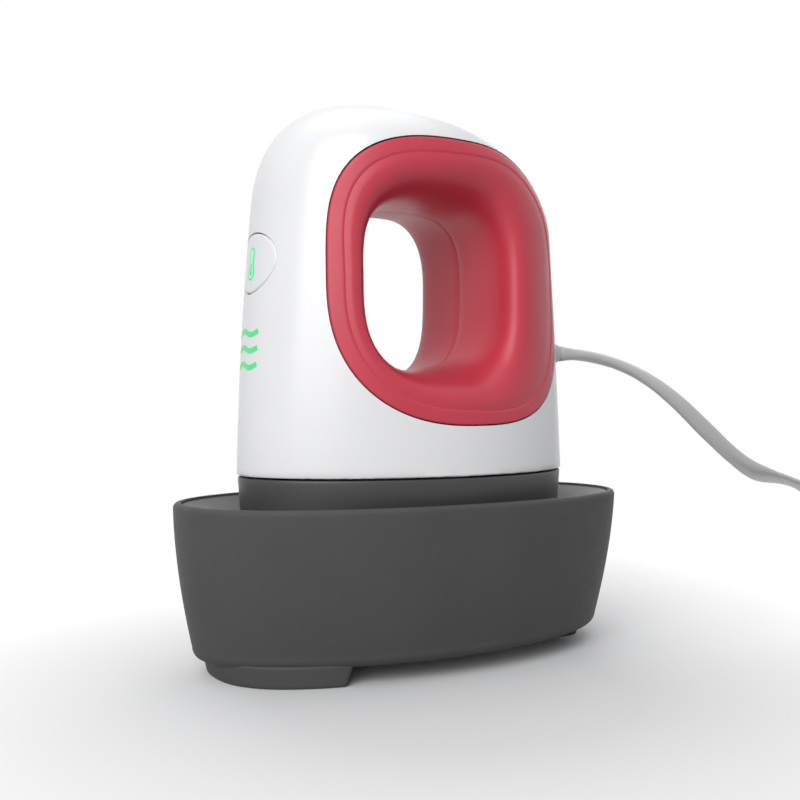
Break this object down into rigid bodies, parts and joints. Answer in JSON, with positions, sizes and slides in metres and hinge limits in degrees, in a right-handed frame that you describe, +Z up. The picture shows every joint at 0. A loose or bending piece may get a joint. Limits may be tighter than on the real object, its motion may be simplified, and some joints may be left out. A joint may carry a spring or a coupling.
{
  "type": "mini handheld heat press",
  "caption": "Small D-handled craft heat press with raspberry grip liners, resting in a boat-shaped dark safety base, with a grey mains cord and plug.",
  "frame": {"origin": "on the table under the middle of the base (the object without its cord), z = 0 at the underside of the feet", "axes": "+Z up; -X towards the nose with the button, +X towards the tail where the cord leaves; +Y towards the right-hand side"},
  "size_m": [0.349, 0.0852, 0.1325],
  "materials": {
    "base_plastic": "fine textured matte",
    "tray_plastic": "fine textured matte",
    "white_plastic": "gloss",
    "red_plastic": "satin",
    "skirt_plastic": "satin",
    "plate_coating": "non-stick coated",
    "sheath_steel": "heat tinted",
    "bright_steel": "rolled",
    "screw_steel": "zinc plated",
    "mineral_mat": "felted",
    "ceramic_white": "unglazed",
    "sensor_lacquer": "lacquered",
    "lead_insulation": "satin",
    "board_green": "solder mask",
    "block_green": "satin",
    "tape_yellow": "taped",
    "black_plastic": "matte",
    "grey_ribbon": "satin",
    "plunger_plastic": "satin",
    "clear_plastic": "translucent",
    "silicone": "matte",
    "cord_grey": "satin",
    "lead_brown": "satin",
    "blade_nickel": "nickel plated"
  },
  "bodies": {
    "base": {"base_outer_shell": "base_plastic", "base_inner_tray": "tray_plastic", "base_screws": "screw_steel", "rest_pads": "silicone", "front_foot": "base_plastic", "rear_foot": "base_plastic", "cord_run": "cord_grey", "cord_coil": "cord_grey", "cord_tie": "black_plastic", "cord_tail": "cord_grey", "plug_body": "cord_grey", "plug_pins": "blade_nickel"},
    "press": {"outer_shell": "white_plastic", "left_grip_liner": "red_plastic", "right_grip_liner": "red_plastic", "lower_skirt": "skirt_plastic", "heat_plate": "plate_coating", "heating_element": "sheath_steel", "element_clamp": "bright_steel", "heat_shield": "bright_steel", "liner_screws": "screw_steel", "skirt_screws": "screw_steel", "plate_screws": "screw_steel", "hanger_screws": "screw_steel", "power_board_screws": "screw_steel", "board_screws": "screw_steel", "clamp_screws": "screw_steel", "insulation_mat": "mineral_mat", "standoffs": "ceramic_white", "thermal_fuse": "ceramic_white", "mains_fuse": "ceramic_white", "thermistor": "sensor_lacquer", "element_leads": "lead_insulation", "power_board": "board_green", "control_board": "board_green", "terminal_block": "block_green", "transformer": "tape_yellow", "filter_capacitor": "tape_yellow", "triac": "black_plastic", "switch_body": "black_plastic", "cord_clamp": "black_plastic", "ribbon_lead": "grey_ribbon", "light_guide": "clear_plastic", "inner_cord": "cord_grey", "strain_relief": "cord_grey", "inner_leads": "lead_brown"},
    "button": {"control_button": "white_plastic", "switch_plunger": "plunger_plastic"}
  },
  "joints": [
    {"name": "press_lift", "type": "slide", "parent": "base", "child": "press", "axis": [0, 0, 1], "range_m": [0, 0.08]},
    {"name": "button_press", "type": "slide", "parent": "press", "child": "button", "axis": [1, 0, 0], "range_m": [0, 0.0005], "stiffness_N_per_m": 800}
  ]
}
